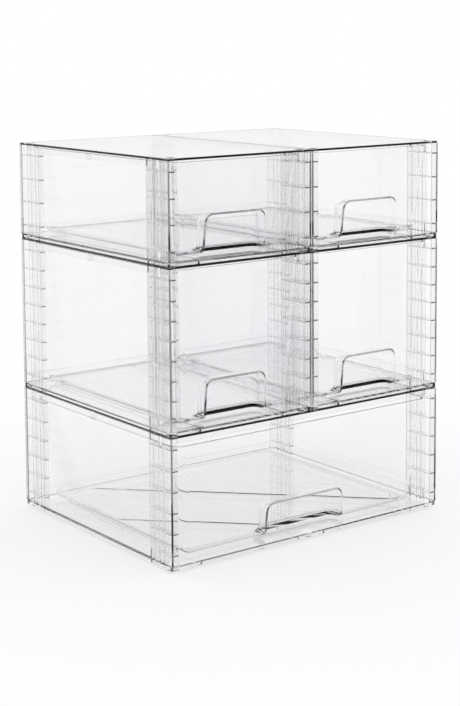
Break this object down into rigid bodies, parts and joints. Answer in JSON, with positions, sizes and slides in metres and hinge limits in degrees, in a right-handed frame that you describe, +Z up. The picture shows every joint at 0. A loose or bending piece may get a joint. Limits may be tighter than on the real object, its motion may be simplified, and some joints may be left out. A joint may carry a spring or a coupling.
{
  "type": "stackable drawer boxes",
  "caption": "Stack of clear plastic drawer boxes, a wide one under tall and short half-width ones, each with a pull-out tray with a finger recess.",
  "frame": {"origin": "middle of the footprint, on the surface that the stack stands on", "axes": "+Z up, drawers open towards -Y, +X to the right seen from the front"},
  "size_m": [0.32, 0.257, 0.3673],
  "materials": {
    "panel_plastic": "clear, polished",
    "tray_plastic": "clear, polished"
  },
  "bodies": {
    "wide_box": {"wide_top_panel": "panel_plastic", "wide_base_panel": "panel_plastic", "wide_left_side": "panel_plastic", "wide_right_side": "panel_plastic", "wide_back_panel": "panel_plastic"},
    "wide_tray": {"wide_drawer": "tray_plastic"},
    "tall_left_box": {"tall_left_top_panel": "panel_plastic", "tall_left_base_panel": "panel_plastic", "tall_left_left_side": "panel_plastic", "tall_left_right_side": "panel_plastic", "tall_left_back_panel": "panel_plastic"},
    "tall_left_tray": {"tall_left_drawer": "tray_plastic"},
    "tall_right_box": {"tall_right_top_panel": "panel_plastic", "tall_right_base_panel": "panel_plastic", "tall_right_left_side": "panel_plastic", "tall_right_right_side": "panel_plastic", "tall_right_back_panel": "panel_plastic"},
    "tall_right_tray": {"tall_right_drawer": "tray_plastic"},
    "short_left_box": {"short_left_top_panel": "panel_plastic", "short_left_base_panel": "panel_plastic", "short_left_left_side": "panel_plastic", "short_left_right_side": "panel_plastic", "short_left_back_panel": "panel_plastic"},
    "short_left_tray": {"short_left_drawer": "tray_plastic"},
    "short_right_box": {"short_right_top_panel": "panel_plastic", "short_right_base_panel": "panel_plastic", "short_right_left_side": "panel_plastic", "short_right_right_side": "panel_plastic", "short_right_back_panel": "panel_plastic"},
    "short_right_tray": {"short_right_drawer": "tray_plastic"}
  },
  "joints": [
    {"name": "tall_left_lift", "type": "slide", "parent": "wide_box", "child": "tall_left_box", "axis": [0, 0, 1], "range_m": [0, 0.08]},
    {"name": "tall_right_lift", "type": "slide", "parent": "wide_box", "child": "tall_right_box", "axis": [0, 0, 1], "range_m": [0, 0.08]},
    {"name": "short_left_lift", "type": "slide", "parent": "tall_left_box", "child": "short_left_box", "axis": [0, 0, 1], "range_m": [0, 0.08]},
    {"name": "short_right_lift", "type": "slide", "parent": "tall_right_box", "child": "short_right_box", "axis": [0, 0, 1], "range_m": [0, 0.08]},
    {"name": "wide_drawer_slide", "type": "slide", "parent": "wide_box", "child": "wide_tray", "axis": [0, -1, 0], "range_m": [0, 0.2]},
    {"name": "tall_left_drawer_slide", "type": "slide", "parent": "tall_left_box", "child": "tall_left_tray", "axis": [0, -1, 0], "range_m": [0, 0.2]},
    {"name": "tall_right_drawer_slide", "type": "slide", "parent": "tall_right_box", "child": "tall_right_tray", "axis": [0, -1, 0], "range_m": [0, 0.2]},
    {"name": "short_left_drawer_slide", "type": "slide", "parent": "short_left_box", "child": "short_left_tray", "axis": [0, -1, 0], "range_m": [0, 0.2]},
    {"name": "short_right_drawer_slide", "type": "slide", "parent": "short_right_box", "child": "short_right_tray", "axis": [0, -1, 0], "range_m": [0, 0.2]}
  ]
}
